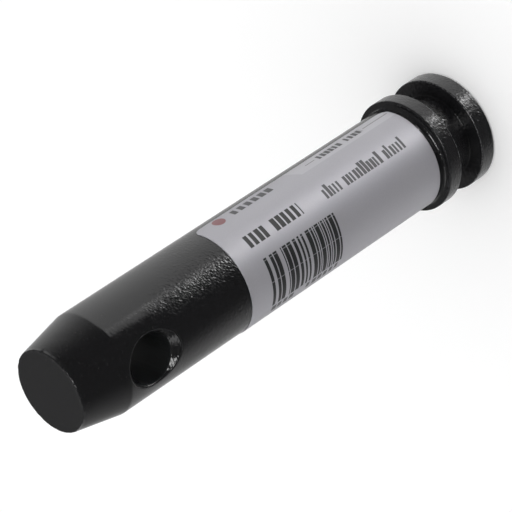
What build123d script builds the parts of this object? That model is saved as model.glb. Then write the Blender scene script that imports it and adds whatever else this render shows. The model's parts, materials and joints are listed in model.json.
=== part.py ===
"""Top link pin: a turned steel pin, 25 mm across, with a two-collar head, and the film label round its shank.

The pin stands on its head. The origin is the centre of the head's end face, +Z runs along the pin's axis
to the tapered nose, and the cross hole runs along Y. All sizes are millimetres and degrees.
"""
import math
import os

from build123d import *

# Shank, the length that carries the load, from the seat collar to the middle of the cross hole
shank_diameter = 25.0
usable_length = 95.0

# Head, from its end face up: end collar, groove for a lock clip, seat collar. Both collars stand out past
# the shank by the width of the shoulder that seats against the bracket
shoulder_width = 1.8
collar_diameter = shank_diameter + 2 * shoulder_width
end_collar_thickness = 4.6
groove_width = 7.6
groove_depth = 3.8
groove_diameter = collar_diameter - 2 * groove_depth
seat_collar_thickness = 4.0

# Nose, turned to a taper so that the pin finds its way through the link's ball
hole_to_end = 20.0
nose_length = 12.0
taper_depth = 2.5
nose_end_diameter = shank_diameter - 2 * taper_depth

# Cross hole for the spring clip, drilled through and opened by a countersink at both mouths
hole_diameter = 11.5
countersink_diameter = 15.3
countersink_angle = 90.0

# Edges and corners left by the turning tool: round at the corners of the tool, broken flat elsewhere
end_edge_radius = 0.6
groove_corner_radius = 0.4
seat_corner_radius = 0.9
nose_blend_radius = 2.0
collar_edge_break = 0.3
nose_edge_break = 0.3

# Label, a printed film cut as a flat sheet and wrapped a little less than half way round the shank
label_length = 64.0
label_width = 38.0
label_thickness = 0.15
label_corner_radius = 2.5
label_from_seat = 1.8
label_start_angle = 11.1

# Heights along the axis, each from the one before it
groove_floor_z = end_collar_thickness
seat_collar_z = groove_floor_z + groove_width
seat_face_z = seat_collar_z + seat_collar_thickness
hole_z = seat_face_z + usable_length
end_z = hole_z + hole_to_end
nose_z = end_z - nose_length

# Radii
shank_radius = shank_diameter / 2
collar_radius = collar_diameter / 2
groove_radius = groove_diameter / 2
nose_end_radius = nose_end_diameter / 2

# Two lengths closer than this are the same
same = 1e-4


def edges_at(solid, radius, z):
    """The round edges of a turned solid that have this radius and lie at this height."""
    return [
        edge
        for edge in solid.edges().filter_by(GeomType.CIRCLE)
        if abs(edge.radius - radius) < same and abs(edge.center().Z - z) < same
    ]


def turned_blank():
    """The pin as it leaves the lathe: one half profile turned about the axis, then its edges finished."""
    half_profile = Polyline(
        (0, 0, 0),
        (collar_radius, 0, 0),
        (collar_radius, 0, groove_floor_z),
        (groove_radius, 0, groove_floor_z),
        (groove_radius, 0, seat_collar_z),
        (collar_radius, 0, seat_collar_z),
        (collar_radius, 0, seat_face_z),
        (shank_radius, 0, seat_face_z),
        (shank_radius, 0, nose_z),
        (nose_end_radius, 0, end_z),
        (0, 0, end_z),
        close=True,
    )
    blank = revolve(make_face(half_profile), Axis.Z)
    rounded = [
        (collar_radius, 0, end_edge_radius),
        (groove_radius, groove_floor_z, groove_corner_radius),
        (groove_radius, seat_collar_z, groove_corner_radius),
        (shank_radius, seat_face_z, seat_corner_radius),
        (shank_radius, nose_z, nose_blend_radius),
    ]
    for radius, z, corner_radius in rounded:
        blank = fillet(edges_at(blank, radius, z), corner_radius)
    broken = [
        (collar_radius, groove_floor_z, collar_edge_break),
        (collar_radius, seat_collar_z, collar_edge_break),
        (collar_radius, seat_face_z, collar_edge_break),
        (nose_end_radius, end_z, nose_edge_break),
    ]
    for radius, z, edge_break in broken:
        blank = chamfer(edges_at(blank, radius, z), edge_break)
    return blank


def cross_hole():
    """The drill and the two countersinks as one tool, centred on the pin's axis and lying along Y.

    Each countersink is centred on the shank's surface, so half of it cuts and half runs out past the steel.
    """
    hole_radius = hole_diameter / 2
    crown_radius = countersink_diameter / 2
    sink_depth = (crown_radius - hole_radius) / math.tan(math.radians(countersink_angle / 2))
    drill = Cylinder(hole_radius, 2 * shank_diameter)
    sink = Pos(0, 0, shank_radius) * Cone(hole_radius, 2 * crown_radius - hole_radius, 2 * sink_depth)
    tool = drill + sink + Rot(180, 0, 0) * sink
    return Pos(0, 0, hole_z) * Rot(90, 0, 0) * tool


def pin_body():
    return turned_blank() - cross_hole()


def label():
    """The film as a sector of thin tube with its underside on the shank, its four corners trimmed round."""
    wrap_angle = math.degrees(label_width / shank_radius)
    start_z = seat_face_z + label_from_seat
    section = Pos(shank_radius + label_thickness / 2, 0, start_z + label_length / 2) * (
        Plane.XZ * Rectangle(label_thickness, label_length)
    )
    film = revolve(section, Axis.Z, wrap_angle)

    spare = 2 * label_corner_radius
    trim = Pos(spare / 2, spare / 2) * Rectangle(spare, spare) - Circle(label_corner_radius)
    corner_turn = math.degrees(math.asin(label_corner_radius / shank_radius))
    for turn, across in ((corner_turn, -1), (wrap_angle - corner_turn, 1)):
        for z, along in (
            (start_z + label_corner_radius, -1),
            (start_z + label_length - label_corner_radius, 1),
        ):
            tangent = across * Vector(0, 1, 0).rotate(Axis.Z, turn)
            outward = Vector(1, 0, 0).rotate(Axis.Z, turn)
            corner = Plane(origin=(0, 0, z), x_dir=tangent, z_dir=across * along * outward)
            film -= extrude(corner * trim, across * along * shank_diameter)
    return Rot(0, 0, label_start_angle - wrap_angle) * film


os.makedirs("parts", exist_ok=True)
nodes = {"pin_body": pin_body(), "label": label()}
for name, solid in nodes.items():
    export_step(solid, f"parts/{name}.step")
    box = solid.bounding_box()
    print(f"{name}: {solid.volume:.1f} mm3, from {tuple(box.min)} to {tuple(box.max)}")
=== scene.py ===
# %% [markdown]
# A top link pin joins a tractor's upper link arm to its bracket. This one is turned from steel bar and
# sprayed with black gloss enamel. Its head has two collars with a groove between them for a keeper, its
# nose is tapered, a cross hole behind the nose takes a spring clip, and a grey printed film is stuck round
# the shank. The CAD model keeps every size. This lesson adds the looks: the paint, the film and its print.

import json
import math

import bmesh
import bpy
import numpy as np
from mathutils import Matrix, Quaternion, Vector, noise


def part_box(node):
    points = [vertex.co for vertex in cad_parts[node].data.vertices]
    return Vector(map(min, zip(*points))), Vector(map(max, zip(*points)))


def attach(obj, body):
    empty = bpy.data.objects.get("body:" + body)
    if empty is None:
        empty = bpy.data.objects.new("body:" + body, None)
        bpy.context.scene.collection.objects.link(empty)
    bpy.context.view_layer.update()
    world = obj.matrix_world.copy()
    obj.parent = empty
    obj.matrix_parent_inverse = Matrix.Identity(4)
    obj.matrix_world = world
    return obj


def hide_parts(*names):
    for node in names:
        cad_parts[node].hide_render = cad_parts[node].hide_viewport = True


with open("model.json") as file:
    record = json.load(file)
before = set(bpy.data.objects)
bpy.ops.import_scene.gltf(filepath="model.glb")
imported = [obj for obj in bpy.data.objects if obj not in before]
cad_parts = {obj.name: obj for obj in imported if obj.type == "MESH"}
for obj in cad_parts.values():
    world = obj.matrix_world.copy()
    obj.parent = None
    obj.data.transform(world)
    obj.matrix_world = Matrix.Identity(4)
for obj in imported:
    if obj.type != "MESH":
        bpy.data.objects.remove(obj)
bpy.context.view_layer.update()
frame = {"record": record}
mm = 0.001


# %% [markdown]
# The record lists the places where the pin meets other parts, with their sizes. Reading them here means
# that the scene follows the CAD model when one of them changes, and that none of them is typed twice.

# %% Read the pin's working sizes
mounts = {mount["name"]: mount for mount in frame["record"]["mounts"]}
shank_radius = mounts["shank"]["dims"]["r_mm"] * mm
bore_radius = mounts["clip_hole"]["dims"]["r_mm"] * mm
bore_half_length = mounts["clip_hole"]["dims"]["length_mm"] * mm / 2
hole_height = mounts["clip_hole"]["pos_m"][2]
seat_height = mounts["seat_face"]["pos_m"][2]
collar_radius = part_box("pin_body")[1].x
pin_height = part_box("pin_body")[1].z
print(f"shank {shank_radius / mm:g} mm, bore {bore_radius / mm:g} mm, height {pin_height / mm:g} mm")

# %% [markdown]
# The photograph looks down along the pin from above the nose, so the head is the far end. A long lens from
# six tenths of a metre gives its gentle perspective. The pin stands upright here, as it would on a bench,
# and the camera is rolled about its line of sight until the nose points down and to the left.

# %% Set up the camera
camera_side = math.radians(-56.4033)
camera_distance = 498.49 * mm
camera_height = 418.72 * mm
camera_roll = math.radians(-123.622)
camera_lens = 190.99
aim = Vector((-0.156, -0.104, 67.51)) * mm

camera = bpy.data.objects.new("camera", bpy.data.cameras.new("camera"))
camera.data.lens = camera_lens
camera.location = (
    camera_distance * math.cos(camera_side),
    camera_distance * math.sin(camera_side),
    camera_height,
)
camera.rotation_mode = "QUATERNION"
line_of_sight = aim - camera.location
camera.rotation_quaternion = line_of_sight.to_track_quat("-Z", "Y") @ Quaternion((0, 0, 1), camera_roll)
bpy.context.scene.collection.objects.link(camera)
bpy.context.scene.camera = camera
bpy.context.scene.view_settings.view_transform = "Standard"
print(f"camera {line_of_sight.length / mm:.0f} mm from what it looks at")

# %% [markdown]
# Node trees are easier to read as formulas. This class wraps one socket: arithmetic on it adds Math nodes,
# and its node method adds any other kind, with the settings made before the sockets are filled in. The few
# named steps that follow, such as a smooth ramp between two values, are what masks are made of.

# %% Write node trees as formulas
def pick(sockets, name):
    """A node's socket by its number, or by its name among those that the settings switch on."""
    if isinstance(name, int):
        return sockets[name]
    return next(socket for socket in sockets if socket.name == name and socket.enabled)


class Shade:
    """A socket of a node tree, with arithmetic."""

    def __init__(self, tree, socket=None):
        self.tree = tree
        self.socket = socket

    def node(self, kind, settings=None, sockets=None, out=0):
        """Adds a node: its kind, its settings, the values or links of its sockets, and which output."""
        made = self.tree.nodes.new("ShaderNode" + kind)
        for name, value in (settings or {}).items():
            setattr(made, name, value)
        for name, value in (sockets or {}).items():
            socket = pick(made.inputs, name)
            if isinstance(value, Shade):
                self.tree.links.new(value.socket, socket)
            else:
                socket.default_value = value
        return Shade(self.tree, pick(made.outputs, out) if made.outputs else None)

    def other(self, name):
        """Another output of the same node."""
        return Shade(self.tree, pick(self.socket.node.outputs, name))

    def math(self, operation, *values):
        return self.node("Math", {"operation": operation}, dict(enumerate(values)))

    def __add__(self, other):
        return self.math("ADD", self, other)

    def __radd__(self, other):
        return self.math("ADD", other, self)

    def __sub__(self, other):
        return self.math("SUBTRACT", self, other)

    def __rsub__(self, other):
        return self.math("SUBTRACT", other, self)

    def __mul__(self, other):
        return self.math("MULTIPLY", self, other)

    def __rmul__(self, other):
        return self.math("MULTIPLY", other, self)

    def __truediv__(self, other):
        return self.math("DIVIDE", self, other)

    def __gt__(self, other):
        return self.math("GREATER_THAN", self, other)

    def __lt__(self, other):
        return self.math("LESS_THAN", self, other)

    def __abs__(self):
        return self.math("ABSOLUTE", self)

    def larger(self, other):
        return self.math("MAXIMUM", self, other)

    def ramp(self, low, high):
        """0 at low, 1 at high and smooth between them, whichever of the two is the larger."""
        sockets = {"Value": self, "From Min": low, "From Max": high}
        return self.node("MapRange", {"interpolation_type": "SMOOTHSTEP"}, sockets)

    def between(self, low, high, blur):
        """1 between two values and 0 beyond them, with smooth sides."""
        return self.ramp(low - blur, low + blur) * self.ramp(high + blur, high - blur)

    def mix(self, first, second):
        """The first colour where this value is 0, and the second where it is 1."""
        sockets = {"Factor": self, "A": first, "B": second}
        return self.node("Mix", {"data_type": "RGBA"}, sockets, "Result")

    def noise(self, vector, detail):
        """Smooth noise that varies by about one for each step of one along the vector."""
        sockets = {"Vector": vector, "Scale": 1.0, "Detail": detail, "Roughness": 0.5}
        return self.node("TexNoise", {}, sockets, "Fac")

    def grain(self, size, detail):
        """Smooth noise over the object, with lumps of one size."""
        place = self.node("TexCoord", out="Object")
        scaled = self.node("VectorMath", {"operation": "SCALE"}, {0: place, "Scale": 1 / size})
        return self.noise(scaled, detail)

    def random(self, number, seed):
        """A random value from 0 to 1 for each whole number and seed."""
        vector = self.node("CombineXYZ", {}, {"X": number, "Y": seed})
        return self.node("TexWhiteNoise", {"noise_dimensions": "2D"}, {"Vector": vector}, "Value")


print("nodes can be written as formulas")


# %% [markdown]
# Black gloss enamel has almost no colour of its own: what the eye reads on it is the studio that it mirrors.
# Lamps and cards could be set up as objects, but here the studio is painted on the world as a pattern of
# light by direction, which is easier to shape and leaves nothing standing in the way of other views. Two
# angles in degrees name a direction: turn, counted from the camera's side, and rise, from the horizon.

# %% Name directions by two angles
def turn_and_rise(light):
    direction = light.node("TexCoord", out="Generated")
    facing = light.node(
        "VectorRotate", {"rotation_type": "Z_AXIS"}, {"Vector": direction, "Angle": -camera_side}
    )
    toward = light.node("SeparateXYZ", {}, {"Vector": facing})
    across = toward.other("Y")
    turn = across.math("ARCTAN2", across, toward) * math.degrees(1)
    rise = toward.math("ARCSINE", toward.other("Z")) * math.degrees(1)
    return turn, rise


print("directions named")


# %% [markdown]
# The camera looks down, so the pin's upright sides mirror what is below the horizon, from 32 degrees down
# at the nose to 41 at the head. In front there is a black card, with a bright wall to its left that dims
# towards the back, and a dimmer wall to its right. The card's edge slants, and is sharp low down and soft
# higher up. A narrow strip lamp just left of that edge makes the grain of the paint sparkle, the more so
# towards the head. Pale panels at the far side give the pin some shine when it is seen from behind.

# %% Light what the upright sides mirror
card_level = 0.1
left_level = 1.27
back_level = 0.62
panel_level = 1.9


def walls(turn, rise):
    """The card and the two walls. Every number in a ramp is an angle in degrees."""
    card_edge = 55 * rise.ramp(-42, -22) - 3
    edge_blur = 1.5 + 8.5 * rise.ramp(-33, -30) + 20 * rise.ramp(-24, -10)
    left = (left_level - card_level) * ((turn - card_edge) / edge_blur).ramp(-1, 1)
    left = left - (left_level - back_level) * turn.ramp(85, 162)
    left = left * (1 - 0.5 * rise.ramp(-46, -56))
    right = (back_level - card_level) * turn.ramp(-58, -112) * (0.6 + 0.4 * rise.ramp(-20, -34))
    return card_level + left * rise.ramp(-6, -22) + right * rise.ramp(10, -8)


def strip_lamp(turn, rise):
    """The strip, which leans towards the card and gets brighter and wider as it goes down."""
    middle = 38 + 1.4 * (rise + 34).larger(-6.5)
    level = (2.4 + 11.0 * rise.ramp(-36.5, -42)) * rise.ramp(-32.3, -34.3)
    spread = 1.1 * rise.ramp(-40.0, -40.6)
    return level * abs(turn - middle + spread).ramp(spread + 4.6, spread + 3.2)


def far_panels(turn, rise):
    """A panel on each side of the back, and one straight behind."""
    from_front = abs(turn)
    panels = from_front.between(128, 152, 5) + from_front.ramp(156, 164)
    return panel_level * panels * rise.between(-17, -3, 2)


print("walls, strip and panels ready")


# %% [markdown]
# The nose's end face, the countersink and the rounded edges mirror what is above the horizon: a dim
# ceiling that is darker in front, a small bright lamp, and a window to the right. The lamp draws the sharp
# glints low on the countersink and in the corner at the seat collar, and the window the softer patch higher
# on the countersink.

# %% Light what the edges mirror
ceiling_level = 0.24
lamp_level = 9.0
window_level = 1.5


def ceiling(turn, rise):
    darker = 0.14 * turn.between(-110, 60, 12) * rise.between(5, 50, 6)
    lamp = lamp_level * turn.between(-22, 8, 3) * rise.between(23, 45, 3)
    window = window_level * turn.between(-112, -72, 6) * rise.between(26, 46, 4)
    return ceiling_level - darker + lamp + window


print("ceiling ready")


# %% [markdown]
# Matt surfaces, such as the floor and the matt half of the film's look, are lit by a broad soft box
# overhead. The enamel would mirror that box as a flat haze, so only the rays that light a matt surface find
# it, which does what a photographer does with black cards between box and paint. The camera sees plain
# white behind everything.

# %% Put the studio together
def studio():
    world = bpy.data.worlds.new("studio")
    world.use_nodes = True
    world.node_tree.nodes.clear()
    light = Shade(world.node_tree)
    turn, rise = turn_and_rise(light)
    upper = rise.ramp(-5, 5)
    below = walls(turn, rise) + strip_lamp(turn, rise)
    mirrored = (below + far_panels(turn, rise)) * (1 - upper) + ceiling(turn, rise) * upper

    soft_box_level = 1.98
    soft_box = ceiling_level + (soft_box_level - ceiling_level) * rise.ramp(44, 56)
    matt_light = below * (1 - upper) + soft_box * upper
    matt = light.node("LightPath", out="Is Diffuse Ray")
    level = mirrored * (1 - matt) + matt_light * matt
    seen = light.node("LightPath", out="Is Camera Ray")
    strength = level * (1 - seen) + seen
    background = light.node("Background", {}, {"Color": (1, 1, 1, 1), "Strength": strength})
    light.node("OutputWorld", {}, {"Surface": background})
    world.cycles.sampling_method = "NONE"
    return world


bpy.context.scene.world = studio()
print("studio lit")


# %% [markdown]
# The floor is a plain white sheet. Near the pin it is lit like any other surface, so that the pin's soft
# shadow shows on it, with a small lift that only the camera sees. Further out it fades to plain white,
# which hides the horizon. It is hidden from gloss, because the enamel mirrors the studio's pattern and not
# a bare white floor.

# %% Lay the floor
def white_floor():
    size = 6.0
    mesh = bpy.data.meshes.new("floor")
    corners = [(-size, -size, 0), (size, -size, 0), (size, size, 0), (-size, size, 0)]
    mesh.from_pydata(corners, [], [(0, 1, 2, 3)])
    floor = bpy.data.objects.new("floor", mesh)
    bpy.context.scene.collection.objects.link(floor)
    floor.visible_glossy = False
    mesh.materials.append(floor_material())
    return floor


def floor_material():
    fade_starts = 250 * mm
    fade_ends = 800 * mm
    lift_level = 0.12
    material = bpy.data.materials.new("floor_white")
    material.use_nodes = True
    material.node_tree.nodes.clear()
    sheet = Shade(material.node_tree)
    place = sheet.node("TexCoord", out="Object")
    distance = place.node("VectorMath", {"operation": "LENGTH"}, {0: place}, "Value")
    seen = sheet.node("LightPath", out="Is Camera Ray")
    fade = distance.ramp(fade_starts, fade_ends) * seen
    matt = sheet.node("BsdfDiffuse", {}, {"Color": (0.95, 0.95, 0.95, 1)})
    lift = sheet.node("Emission", {}, {"Color": (1, 1, 1, 1), "Strength": lift_level * seen})
    lifted = sheet.node("AddShader", {}, {0: matt, 1: lift})
    plain = sheet.node("Emission", {}, {"Color": (1, 1, 1, 1), "Strength": 1.0})
    surface = sheet.node("MixShader", {}, {0: fade, 1: lifted, 2: plain})
    sheet.node("OutputMaterial", {}, {"Surface": surface})
    return material


white_floor()
print("floor laid")

# %% [markdown]
# A turned part is one line, the half profile, spun about its axis. Each corner of the line has a radius,
# left by the tool or by the paint that runs over the edge. Two radii differ from the CAD model's, to follow
# the photograph: the groove's corners are sharper here, and the bend into the taper is softer.

# %% List the corners of the half profile
end_collar_thickness = 4.6 * mm
groove_width = 7.6 * mm
groove_radius = 10.5 * mm
nose_length = 12.0 * mm
nose_end_radius = 10.0 * mm
seat_collar_height = end_collar_thickness + groove_width
taper_height = pin_height - nose_length

end_edge_round = 0.6 * mm
painted_round = 0.3 * mm
groove_corner_round = 0.15 * mm
seat_corner_round = 0.9 * mm
taper_bend = 3.0 * mm

profile_corners = [
    (0, 0, 0),
    (collar_radius, 0, end_edge_round),
    (collar_radius, end_collar_thickness, painted_round),
    (groove_radius, end_collar_thickness, groove_corner_round),
    (groove_radius, seat_collar_height, groove_corner_round),
    (collar_radius, seat_collar_height, painted_round),
    (collar_radius, seat_height, painted_round),
    (shank_radius, seat_height, seat_corner_round),
    (shank_radius, taper_height, taper_bend),
    (nose_end_radius, pin_height, painted_round),
    (0, pin_height, 0),
]
print(f"{len(profile_corners)} corners, the groove's floor {2 * groove_radius / mm:g} mm across")


# %% [markdown]
# The line itself is made of arcs round the corners and straight lengths between them. The straight lengths
# get more points near the cross hole, where the mesh has to bend round its mouths, and one close to each
# arc, which keeps the flat faces flat in the shading.

# %% Draw the half profile
def rounded_corner(before, corner, after, radius, steps=7):
    """The points of the arc that rounds a corner of the profile."""
    if radius == 0:
        return [corner]
    back = (before - corner).normalized()
    on = (after - corner).normalized()
    half_angle = back.angle(on) / 2
    centre = corner + (back + on).normalized() * (radius / math.sin(half_angle))
    first = corner + back * (radius / math.tan(half_angle)) - centre
    last = corner + on * (radius / math.tan(half_angle)) - centre
    return [centre + first.slerp(last, step / steps) * radius for step in range(steps + 1)]


def straight_points(start, end, fine_from):
    """Points between two rounded corners: one close to each, and steps that are fine from a height on."""
    hold = 0.12 * mm
    coarse_step = 1.2 * mm
    fine_step = 0.38 * mm
    length = (end - start).length
    places = [hold]
    while places[-1] < length - hold:
        height = start.lerp(end, places[-1] / length).y
        places.append(places[-1] + (fine_step if height > fine_from else coarse_step))
    if len(places) < 3:
        return []
    stretch = (length - 2 * hold) / (places[-1] - hold)
    return [start.lerp(end, (hold + (place - hold) * stretch) / length) for place in places]


def half_profile():
    fine_below_hole = 12 * mm
    corners = [Vector((radius, height)) for radius, height, _ in profile_corners]
    arcs = [[corners[0]]]
    for index in range(1, len(corners) - 1):
        rounding = profile_corners[index][2]
        arcs.append(rounded_corner(corners[index - 1], corners[index], corners[index + 1], rounding))
    arcs.append([corners[-1]])
    points = []
    for arc, next_arc in zip(arcs, arcs[1:]):
        points += arc + straight_points(arc[-1], next_arc[0], hole_height - fine_below_hole)
    return points + arcs[-1]


profile = half_profile()
print(f"{len(profile)} points down the profile")


# %% [markdown]
# Where the cross hole breaks through, the spun mesh has a window left open at each mouth. Rings of points
# fill it, from the edge of the window inwards: over the shank, round the mouth's painted edge, down the
# countersink, round its inner edge and through the bore to the other mouth. All rings have as many points
# as the window's edge, so the whole pin is one closed net of four-sided faces. A boolean cut would be
# shorter to write, but leaves slivers that spoil a mirror finish. Each point of the mouth's outline is where
# the countersink's cone meets the shank, which a quadratic equation gives.

# %% Work out the mouths of the cross hole
mouth_radius = 7.65 * mm
cone_offset = shank_radius - mouth_radius


def mouth_outline(angle):
    """How far from the hole's axis the countersink meets the shank, at an angle from the level."""
    square_term = 1 + math.cos(angle) ** 2
    root = math.sqrt(cone_offset**2 + square_term * (shank_radius**2 - cone_offset**2))
    return (root - cone_offset) / square_term


def skin_place(distance, angle):
    """How far round the shank and up a point lies that has a distance and angle from the hole's axis."""
    across = shank_radius * math.asin(distance * math.cos(angle) / shank_radius)
    return across, distance * math.sin(angle)


def on_skin(across, up, side):
    """The point of the outer surface at a distance round and up from the middle of a mouth."""
    height = hole_height + up
    radius = np.interp(height, skin_heights, skin_radii)
    turn = across / shank_radius
    return Vector((radius * math.sin(turn), side * radius * math.cos(turn), height))


def in_hole(angle, radius, depth, side):
    """The point at an angle and radius about the hole's axis, and a depth from the pin's axis."""
    return Vector((radius * math.cos(angle), side * depth, hole_height + radius * math.sin(angle)))


skin_line = [point for point in profile if point.y > seat_height + 1 * mm and point.x > 0]
skin_heights = [point.y for point in skin_line]
skin_radii = [point.x for point in skin_line]
print(f"mouth {2 * mouth_outline(0) / mm:.2f} mm wide and {2 * mouth_outline(math.pi / 2) / mm:.2f} mm high")


# %% [markdown]
# The rings of a mouth come in four groups. The first blends from the window's shape to the mouth's, and the
# others follow the mouth's edge, the countersink and its inner edge. The bends over the two edges have a
# few points each, enough for a highlight to run along them. Paint that has pooled there makes the rings a
# little uneven, so they are nudged by some smooth noise. Each ring notes its share of an edge and of the
# hole, 1 on the countersink and 2 in the bore, because the paint's material needs that.

# %% Make the rings of one mouth
mouth_round = 0.3 * mm
inner_round = 0.2 * mm
ring_gap = 0.12 * mm
pooled_paint = 0.05 * mm
pool_size = 0.9 * mm
blend_steps = 24
bend_steps = 5
cone_steps = 4
crowding = 0.8


def uneven(point, amount):
    """A point moved along the hole's radius by smooth noise, as paint lies where it has pooled."""
    away = Vector((point.x, 0, point.z - hole_height)).normalized()
    return point + away * (amount * noise.noise(point / pool_size))


def bend(start, corner, end, share):
    """A point of the smooth bend from start to end that a corner pulls outwards."""
    return start.lerp(corner, share).lerp(corner.lerp(end, share), share)


def cone_reach(outline, rounding):
    """How far in from its border a rounding reaches on the countersink, less where that is narrow."""
    return min(rounding / math.sqrt(2), 0.4 * (outline - bore_radius))


def shank_rings(spots, side):
    """From the window's edge to the mouth, the closer together the nearer they are to it."""
    rings = []
    for step in range(1, blend_steps + 1):
        share = (step / blend_steps) ** crowding
        ring = []
        for across, up, angle, outline in spots:
            near_across, near_up = skin_place(outline + mouth_round + ring_gap, angle)
            ring.append(
                on_skin(across + share * (near_across - across), up + share * (near_up - up), side)
            )
        rings.append((ring, 0, 0))
    return rings


def mouth_edge_rings(spots, side):
    rings = []
    for step in range(bend_steps + 1):
        share = step / bend_steps
        ring = []
        for _, _, angle, outline in spots:
            start = on_skin(*skin_place(outline + mouth_round, angle), side)
            corner = in_hole(angle, outline, outline + cone_offset, side)
            radius = outline - cone_reach(outline, mouth_round)
            end = in_hole(angle, radius, radius + cone_offset, side)
            ring.append(uneven(bend(start, corner, end, share), pooled_paint * share))
        rings.append((ring, 1 - abs(2 * share - 1), share))
    return rings


def cone_rings(spots, side):
    rings = []
    for step in range(1, cone_steps):
        ring = []
        for _, _, angle, outline in spots:
            outer = outline - cone_reach(outline, mouth_round)
            inner = bore_radius + cone_reach(outline, inner_round)
            radius = outer + (inner - outer) * step / cone_steps
            ring.append(uneven(in_hole(angle, radius, radius + cone_offset, side), pooled_paint))
        rings.append((ring, 0, 1))
    return rings


def inner_edge_rings(spots, side):
    rings = []
    for step in range(bend_steps + 1):
        share = step / bend_steps
        ring = []
        for _, _, angle, outline in spots:
            radius = bore_radius + cone_reach(outline, inner_round)
            start = in_hole(angle, radius, radius + cone_offset, side)
            corner = in_hole(angle, bore_radius, bore_half_length, side)
            end = in_hole(angle, bore_radius, bore_half_length - inner_round, side)
            ring.append(uneven(bend(start, corner, end, share), pooled_paint))
        rings.append((ring, 1 - abs(2 * share - 1), 1 + share))
    return rings


def mouth_rings(edge_places, side):
    """All rings of a mouth, from the window's edge inwards, each with its two shares."""
    spots = []
    for across, up in edge_places:
        angle = math.atan2(up, across)
        spots.append((across, up, angle, mouth_outline(angle)))
    outside = shank_rings(spots, side) + mouth_edge_rings(spots, side)
    return outside + cone_rings(spots, side) + inner_edge_rings(spots, side)


print(f"{blend_steps + 2 * (bend_steps + 1) + cone_steps - 1} rings for each mouth")


# %% [markdown]
# Two small signs of use are part of the mesh. Every point notes how near it is to an outer edge, where
# enamel runs thin, and the edge of the nose is knocked in here and there by up to a fifth of a millimetre.

# %% Find the edges and knock the nose
edge_reach = 0.55 * mm
deepest_chip = 0.22 * mm
chip_spacing = 9


def closeness_to_edges(radius, height):
    """1 on the turned edges and down to 0 a little way from them."""
    edges = [(x, z) for x, z, _ in profile_corners if x in (collar_radius, nose_end_radius)]
    gap = min(math.hypot(radius - x, height - z) for x, z in edges)
    return max(0.0, 1 - gap / edge_reach)


def chip_depth(angle, point):
    """How far the nose's end edge is knocked in at an angle round the pin."""
    if point.y < taper_height or point.x < nose_end_radius - 1 * mm:
        return 0.0
    knock = noise.noise(Vector((chip_spacing * math.cos(angle), chip_spacing * math.sin(angle), 0)))
    return deepest_chip * max(0.0, knock) * closeness_to_edges(point.x, point.y)


print(f"chips up to {deepest_chip / mm:g} mm deep")


# %% [markdown]
# Now the net itself. A small class collects its points and faces, and each part of the pin adds its own:
# the spun grid with its two windows, a point at the middle of each end face, the rings, and the bore.

# %% Collect points and faces
columns = 256
bore_steps = 24
window_half_height = 9.6 * mm
window_half_columns = 26
window_middles = {-1: 3 * columns // 4, 1: columns // 4}
rows = profile[1:-1]
window_rows = [row for row, point in enumerate(rows) if abs(point.y - hole_height) <= window_half_height]
first_row, last_row = window_rows[0], window_rows[-1]


class Net:
    """The points of a mesh, each with its share of an edge and of the hole, and the faces between them."""

    def __init__(self):
        self.points = []
        self.edge_share = []
        self.hole_share = []
        self.faces = []

    def add(self, point, edge, hole=0):
        self.points.append(point)
        self.edge_share.append(edge)
        self.hole_share.append(hole)
        return len(self.points) - 1

    def stitch(self, first, second):
        """Joins two closed rings of as many points."""
        count = len(first)
        for k in range(count):
            self.faces.append((first[k], first[(k + 1) % count], second[(k + 1) % count], second[k]))


print(f"windows {last_row - first_row} rows high and {2 * window_half_columns} columns wide")


# %% Spin the profile
def in_window(row, column):
    if not first_row < row < last_row:
        return False
    return any(abs(column - middle) < window_half_columns for middle in window_middles.values())


def spin_profile(net):
    """Adds the grid without its windows. Returns the number of the point at each row and column."""
    grid = np.full((len(rows), columns), -1)
    for row, point in enumerate(rows):
        share = closeness_to_edges(point.x, point.y)
        for column in range(columns):
            if in_window(row, column):
                continue
            angle = 2 * math.pi * column / columns
            reach = point.x - chip_depth(angle, point)
            place = Vector((reach * math.cos(angle), reach * math.sin(angle), point.y))
            grid[row, column] = net.add(place, share)
    for row in range(len(rows) - 1):
        for column in range(columns):
            after = (column + 1) % columns
            corners = (grid[row, column], grid[row, after], grid[row + 1, after], grid[row + 1, column])
            if min(corners) >= 0:
                net.faces.append(tuple(int(corner) for corner in corners))
    return grid


def close_ends(net, grid):
    for row, height in ((0, 0), (len(rows) - 1, pin_height)):
        middle = net.add(Vector((0, 0, height)), 0)
        ring = [int(index) for index in grid[row]]
        net.faces.extend((ring[k], ring[(k + 1) % columns], middle) for k in range(columns))


print(f"{len(rows)} rows of {columns} points")


# %% Fill the windows and line the bore
def window_walk():
    """Once round a window's edge: the columns, counted from the window's middle, and the rows."""
    w = window_half_columns
    walk = [(k, first_row) for k in range(-w, w)]
    walk += [(w, row) for row in range(first_row, last_row)]
    walk += [(k, last_row) for k in range(w, -w, -1)]
    walk += [(-w, row) for row in range(last_row, first_row, -1)]
    return walk


def fill_windows(net, grid):
    """Adds the rings of both mouths. Returns the last ring of each, where the bore starts."""
    column_width = 2 * math.pi * shank_radius / columns
    walk = window_walk()
    edge_places = [(k * column_width, rows[row].y - hole_height) for k, row in walk]
    bore_ends = {}
    for side, middle in window_middles.items():
        ring = [int(grid[row, middle - side * k]) for k, row in walk]
        for ring_points, edge, hole in mouth_rings(edge_places, side):
            inner = [net.add(point, edge, hole) for point in ring_points]
            net.stitch(ring, inner)
            ring = inner
        bore_ends[side] = ring
    return bore_ends


def line_bore(net, near, far):
    """Adds the wall of the bore between the last rings of the two mouths."""
    ring = near
    for step in range(1, bore_steps):
        share = step / bore_steps
        inner = [net.add(net.points[a].lerp(net.points[b], share), 0, 2) for a, b in zip(near, far)]
        net.stitch(ring, inner)
        ring = inner
    net.stitch(ring, far)


print(f"{len(window_walk())} points round each window")


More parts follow.
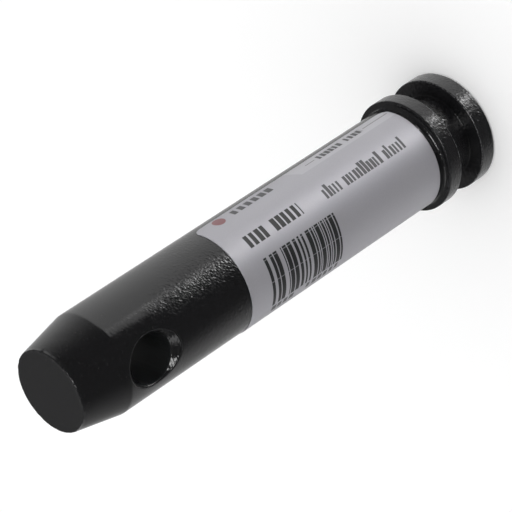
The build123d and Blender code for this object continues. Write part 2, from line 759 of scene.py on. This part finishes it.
# %% Build the pin
def face_outwards(mesh):
    """Turns all faces of a closed mesh outwards and shades it smooth."""
    work = bmesh.new()
    work.from_mesh(mesh)
    bmesh.ops.recalc_face_normals(work, faces=work.faces)
    open_edges = sum(not edge.is_manifold for edge in work.edges)
    work.to_mesh(mesh)
    work.free()
    mesh.shade_smooth()
    print(f"{mesh.name}: {len(mesh.polygons)} faces, {open_edges} open edges")


def build_pin():
    net = Net()
    grid = spin_profile(net)
    close_ends(net, grid)
    bore_ends = fill_windows(net, grid)
    line_bore(net, bore_ends[-1], bore_ends[1])

    mesh = bpy.data.meshes.new("enamelled_pin")
    mesh.from_pydata(net.points, [], net.faces)
    mesh.attributes.new("edge", "FLOAT", "POINT").data.foreach_set("value", net.edge_share)
    mesh.attributes.new("hole", "FLOAT", "POINT").data.foreach_set("value", net.hole_share)
    pin = bpy.data.objects.new("enamelled_pin", mesh)
    bpy.context.scene.collection.objects.link(pin)
    face_outwards(mesh)
    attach(pin, "root")
    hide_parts("pin_body")
    return pin


pin = build_pin()


# %% [markdown]
# The paint's masks all start from the same few values: the place on the pin, the two shares that the mesh
# noted, a fine speckle and a broad swell. This class keeps them together.

# %% Gather what the enamel's masks need
class Enamel(Shade):
    """The paint's node tree, with the values that its masks are made of."""

    def __init__(self, tree):
        super().__init__(tree)
        place = self.node("TexCoord", out="Object")
        self.x = self.node("SeparateXYZ", {}, {"Vector": place})
        self.y = self.x.other("Y")
        self.z = self.x.other("Z")
        self.edge = self.node("Attribute", {"attribute_name": "edge"}, out="Fac")
        self.hole = self.node("Attribute", {"attribute_name": "hole"}, out="Fac")
        self.head = self.z.ramp(seat_height + 0.1 * mm, seat_height - 0.1 * mm)
        self.speckle = self.grain(0.5 * mm, detail=3.0)
        self.swell = self.grain(6 * mm, detail=1.0)


print("enamel's values gathered")


# %% [markdown]
# The enamel is sprayed on thick, so it has an orange peel: low lumps, here longer round the pin than along
# it, because they follow the marks of the lathe, with pimples between them. They show where a reflection
# has a sharp edge and vanish in a smooth one. They are a bump and not a shape, being a few hundredths of a
# millimetre high. They are highest on the head and fade out towards the nose. The countersink has marks of
# its own, left by the cutter's chatter as it turned about the hole's axis. Bump heights are in millimetres.

# %% Shape the peel and the chatter
def orange_peel(paint):
    lump_length = 0.7 * mm
    pimple_length = 0.6 * mm
    lump_width = 0.38 * mm
    lump_height = 0.040
    pimple_height = 0.026
    apart = 40
    smooth_above = 111 * mm
    rough_below = 92 * mm
    slant = 0.3
    slant_side = camera_side + math.radians(10)

    round_the_pin = paint.y * math.cos(slant_side) - paint.x * math.sin(slant_side)
    along = (paint.z - slant * round_the_pin) * (1 / lump_width)
    lump_place = {"X": paint.x * (1 / lump_length), "Y": paint.y * (1 / lump_length), "Z": along}
    lumps = paint.noise(paint.node("CombineXYZ", {}, lump_place), detail=0.0)
    pimple_x = paint.x * (1 / pimple_length) + apart
    pimple_place = {"X": pimple_x, "Y": paint.y * (1 / pimple_length), "Z": along}
    pimples = paint.noise(paint.node("CombineXYZ", {}, pimple_place), detail=0.0).ramp(0.5, 0.75)
    fades = 0.10 + 0.90 * paint.z.ramp(smooth_above, rough_below) + 0.5 * paint.head
    return (lumps * lump_height + pimples * pimple_height) * fades


def cutter_chatter(paint):
    """Marks of the countersink's cutter, longer round the hole's axis than away from it."""
    marks_round = 5
    mark_width = 0.33 * mm
    up = paint.z - hole_height
    from_axis = up.math("SQRT", paint.x * paint.x + up * up)
    place = {
        "X": marks_round * paint.x / from_axis,
        "Y": marks_round * up / from_axis,
        "Z": from_axis * (1 / mark_width),
    }
    return paint.noise(paint.node("CombineXYZ", {}, place), detail=1.0)


print("bumps ready")


# %% [markdown]
# The colour is black all over, and a shade greyer where the enamel is thin on the outer edges, on the head,
# and in the bore, which got less paint. A little dust lies towards the nose. Pale specks along the groove's
# two edges are a painted highlight, standing in for their broken glints; the seat collar's edge faces down,
# so its painted specks are paler to show.

# %% Colour the enamel
def enamel_colour(paint, thin):
    colour = thin.mix((0.008, 0.008, 0.0087, 1), (0.02, 0.02, 0.021, 1))
    colour = (paint.head * (1 - thin)).mix(colour, (0.0125, 0.0125, 0.0135, 1))

    near_nose = paint.z.ramp(100 * mm, 113 * mm) * (1 - paint.hole.ramp(0, 0.5))
    dust = paint.speckle.ramp(0.64, 0.78) * near_nose
    colour = (0.8 * dust).mix(colour, (0.045, 0.042, 0.04, 1))

    in_groove = paint.z.between(end_collar_thickness - 0.2 * mm, seat_collar_height + 0.3 * mm, 0.2 * mm)
    # Painted highlight: speckled pale marks along the groove's edges stand in for the glints those edges
    # catch.
    glint_specks = paint.edge.ramp(0.5, 0.9) * in_groove * paint.speckle.ramp(0.42, 0.6)
    upper_edge = paint.z.ramp(seat_collar_height - 1.0 * mm, seat_collar_height - 0.4 * mm)
    glint_speck_colour = upper_edge.mix((0.15, 0.15, 0.155, 1), (0.5, 0.5, 0.51, 1))
    colour = glint_specks.mix(colour, glint_speck_colour)
    return paint.hole.ramp(1, 2).mix(colour, (0.014, 0.0155, 0.016, 1))


print("colours ready")


# %% [markdown]
# A gloss this deep needs a roughness near 0. It is a little duller on the thin edges and at the mouths, and
# much duller in the bore. The knocked edge of the nose gets a bump of its own, which breaks up its glint.

# %% Mix the enamel
def enamel():
    peel_swell = 0.03
    chatter_height = 0.13
    knock_height = 0.12
    material = bpy.data.materials.new("black_enamel")
    material.use_nodes = True
    material.node_tree.nodes.clear()
    paint = Enamel(material.node_tree)

    peel = orange_peel(paint) + paint.swell * peel_swell
    in_mouth = paint.hole.ramp(0, 1)
    knocked = paint.edge * paint.z.ramp(pin_height - 1.2 * mm, pin_height - 0.6 * mm)
    chatter = cutter_chatter(paint) * chatter_height * in_mouth
    height = peel * (1 - in_mouth) + chatter + paint.speckle * knock_height * knocked
    bumped = paint.node("Bump", {}, {"Strength": 1.0, "Distance": mm, "Height": height})

    thin = paint.edge * paint.speckle.ramp(0.35, 0.7)
    mouth_edge = paint.edge * paint.hole.ramp(0, 0.3)
    in_bore = paint.hole.ramp(1, 2)
    sockets = {
        "Base Color": enamel_colour(paint, thin),
        "Roughness": 0.06 + 0.03 * paint.swell + 0.12 * thin + 0.35 * in_bore + 0.3 * mouth_edge,
        "Normal": bumped,
        "IOR": 1.5,
    }
    surface = paint.node("BsdfPrincipled", {}, sockets)
    paint.node("OutputMaterial", {}, {"Surface": surface})
    return material


pin.data.materials.append(enamel())
print("pin painted")


# %% [markdown]
# The film is a printed sheet, 64 by 38 millimetres, stuck a little less than half way round the shank. It is
# built flat and then wrapped: a point of the sheet is known by its distance from the edge nearest the nose
# and from its upper edge, the way its print reads. The rows get shorter towards the ends, which gives the
# round corners, and the outside curves down to the shank over the last tenth of a millimetre.

# %% Measure the film
film_low, film_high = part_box("label")
film_length = film_high.z - film_low.z
film_width = 38 * mm
film_thickness = -film_low.y - shank_radius
film_corner = 2.5 * mm
film_start = math.radians(11.1)
film_edge = 0.1 * mm
film_steps = 48
film_shares = [math.sin(math.pi / 2 * step / film_steps) for step in range(-film_steps, film_steps + 1)]
print(f"film {film_length / mm:.1f} mm long and {film_thickness / mm:.2f} mm thick")


# %% [markdown]
# The outside and the underside are two grids of as many points, which are closer together near the edges.
# They meet along the border, where their points are joined, so the film is a closed shape with a real
# thickness. Each point keeps its place on the flat sheet for the print.

# %% Wrap the film
def film_rows(outside, points, sheet_places):
    """Adds one side of the film to the points, row by row, and returns the numbers of each row's points."""
    rows_of_film = []
    for share in film_shares:
        along = film_length / 2 * (1 + share)
        from_end = min(along, film_length - along)
        short = max(0.0, film_corner - from_end)
        half = film_width / 2 - film_corner + math.sqrt(film_corner**2 - short**2)
        row = []
        for other_share in film_shares:
            down = film_width / 2 + half * other_share
            angle = film_start - down / shank_radius
            border = min(from_end, half * (1 - abs(other_share)))
            roll = math.sqrt(max(0.0, 1 - max(0.0, 1 - border / film_edge) ** 2))
            radius = shank_radius + (film_thickness * roll if outside else 0)
            points.append((radius * math.cos(angle), radius * math.sin(angle), film_high.z - along))
            sheet_places.append((along / mm, down / mm, 0.0))
            row.append(len(points) - 1)
        rows_of_film.append(row)
    return rows_of_film


def weld(mesh):
    """Joins the points that lie on each other along the film's border."""
    work = bmesh.new()
    work.from_mesh(mesh)
    bmesh.ops.remove_doubles(work, verts=work.verts, dist=1e-3 * mm)
    work.to_mesh(mesh)
    work.free()


def build_film():
    points = []
    sheet_places = []
    faces = []
    for outside in (True, False):
        film_side = film_rows(outside, points, sheet_places)
        for first, second in zip(film_side, film_side[1:]):
            for k in range(len(first) - 1):
                faces.append((first[k], first[k + 1], second[k + 1], second[k]))

    mesh = bpy.data.meshes.new("printed_film")
    mesh.from_pydata(points, [], faces)
    values = np.array(sheet_places, np.float32).ravel()
    mesh.attributes.new("sheet", "FLOAT_VECTOR", "POINT").data.foreach_set("vector", values)
    film = bpy.data.objects.new("printed_film", mesh)
    bpy.context.scene.collection.objects.link(film)
    weld(mesh)
    face_outwards(mesh)
    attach(film, "root")
    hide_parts("label")
    return film


film = build_film()


# %% [markdown]
# The print is made of plain marks, each a mask over the sheet in millimetres from its nose end and upper
# edge: a box, a dot, upright bars and runs of small blocks. A run cuts its length into cells and gives each
# cell a block of a random width, so that it looks like fine print from a step away and says nothing. The
# bars are cells too: about seven in ten are printed, at random, and every fifth one is left empty.

# %% Draw the print
class Print(Shade):
    """Marks on the sheet. Holds the two distances that every mark is measured by."""

    def __init__(self, tree):
        super().__init__(tree)
        sheet = self.node("Attribute", {"attribute_name": "sheet"}, out="Vector")
        parts = sheet.node("SeparateXYZ", {}, {"Vector": sheet})
        self.along = parts
        self.down = parts.other("Y")

    def box(self, left, right, top, bottom, blur=0.09):
        return self.along.between(left, right, blur) * self.down.between(top, bottom, blur)

    def dot(self, along, down, radius):
        gap_along = self.along - along
        gap_down = self.down - down
        distance = gap_along.math("SQRT", gap_along * gap_along + gap_down * gap_down)
        return distance.ramp(radius + 0.1, radius - 0.1)

    def bars(self, left, right, top, bottom, pitch, share, seed):
        """Upright bars of one pitch, of which a share is printed, in an order of their own."""
        cell = self.along.math("FLOOR", (self.along - left) / pitch)
        printed = self.random(cell, seed) < share
        not_fifth = cell.math("MODULO", cell, 5) > 0.5
        return printed * not_fifth * self.box(left, right, top, bottom)

    def blocks(self, left, right, top, bottom, pitch, seed, tall=1.0):
        """A run of blocks of random widths, some of them full height and the rest a share of it."""
        steps = (self.along - left) / pitch
        cell = steps.math("FLOOR", steps)
        inside = steps.math("FRACT", steps)
        width = 0.5 + 0.35 * self.random(cell, seed)
        block = inside.between(0.1, 0.9, 0.05) * (inside < width + 0.1)
        printed = self.random(cell, seed + 1) > 0.14
        low_block = self.random(cell, seed + 2) > 0.4
        top_line = top + (bottom - top) * (1 - tall) * low_block
        upright = (self.down - top_line).ramp(-0.08, 0.08) * self.down.ramp(bottom + 0.08, bottom - 0.08)
        return block * printed * upright * self.along.between(left, right, 0.09)


print("marks ready")


# %% [markdown]
# Black ink prints the bars and the boldest run, grey ink the lighter ones and two thin rules, and there is
# one red dot. Where two marks meet, the larger mask wins. Two pale scratches run across the bars.

# %% Lay out the print
def black_marks(ink):
    bold_run = ink.blocks(5.6, 23.1, 9.8, 13.0, 1.7, seed=3)
    bars = ink.bars(6.4, 29.8, 16.3, 28.7, 0.30, 0.72, seed=21)
    scratches = ink.down.between(16.75, 16.9, 0.08) + ink.down.between(22.1, 22.25, 0.08)
    return bold_run.larger(bars * (1 - 0.6 * scratches))


def grey_marks(ink):
    thin_run = ink.blocks(30.6, 58.0, 9.8, 13.2, 1.15, seed=11, tall=0.72)
    small_run = ink.blocks(6.8, 29.6, 29.2, 30.9, 1.9, seed=31)
    banner_run = ink.blocks(38.8, 53.9, 1.3, 3.1, 1.35, seed=41)
    banner_rules = ink.box(34.9, 38.0, 2.1, 2.3) + ink.box(54.6, 63.2, 2.1, 2.3)
    corner_run = ink.blocks(10.3, 24.2, 1.3, 3.3, 2.2, seed=51)
    return thin_run.larger(small_run).larger(banner_run).larger(banner_rules).larger(corner_run)


def pale_banner(ink):
    """The paler field along the upper edge, with its slanting end."""
    slope = (ink.along - 29.2 - 0.55 * ink.down).ramp(-0.12, 0.12)
    return slope * ink.down.ramp(4.4, 4.2)


print("print laid out")


# %% [markdown]
# The film is a satin plastic with a metal-grey face. Half of its look is the blurred mirror of the studio:
# bright above, where it faces the wall and the strip, dark in the middle, where it faces the card. It lies
# on the shank with faint waves, which bend the edge between the two. The ink is darker and less metallic.

# %% Finish the film
def film_material():
    wave_height = 0.05
    grain_height = 0.0006
    grain_size = 0.35 * mm
    material = bpy.data.materials.new("grey_film")
    material.use_nodes = True
    material.node_tree.nodes.clear()
    ink = Print(material.node_tree)
    black = black_marks(ink)
    grey = grey_marks(ink)
    red_dot = ink.dot(6.4, 2.2, 1.6)
    inked = black.larger(grey * 0.7).larger(red_dot)

    grain = ink.grain(grain_size, detail=2.0)
    base = grain.mix((0.453, 0.446, 0.479, 1), (0.503, 0.496, 0.531, 1))
    base = pale_banner(ink).mix(base, (0.55, 0.545, 0.576, 1))
    base = grey.mix(base, (0.085, 0.085, 0.09, 1))
    base = black.mix(base, (0.012, 0.012, 0.013, 1))
    base = red_dot.mix(base, (0.30, 0.13, 0.14, 1))

    wave_place = {"X": ink.along * (1 / 9), "Y": ink.down * (1 / 7), "Z": 0.0}
    waves = ink.noise(ink.node("CombineXYZ", {}, wave_place), detail=1.0)
    height = waves * wave_height + grain * grain_height
    bumped = ink.node("Bump", {}, {"Strength": 1.0, "Distance": mm, "Height": height})
    sockets = {
        "Base Color": base,
        "Metallic": 0.40 * (1 - inked),
        "Roughness": 0.43 + 0.05 * grain,
        "Normal": bumped,
        "IOR": 1.5,
    }
    surface = ink.node("BsdfPrincipled", {}, sockets)
    ink.node("OutputMaterial", {}, {"Surface": surface})
    return material


film.data.materials.append(film_material())
print("film finished")
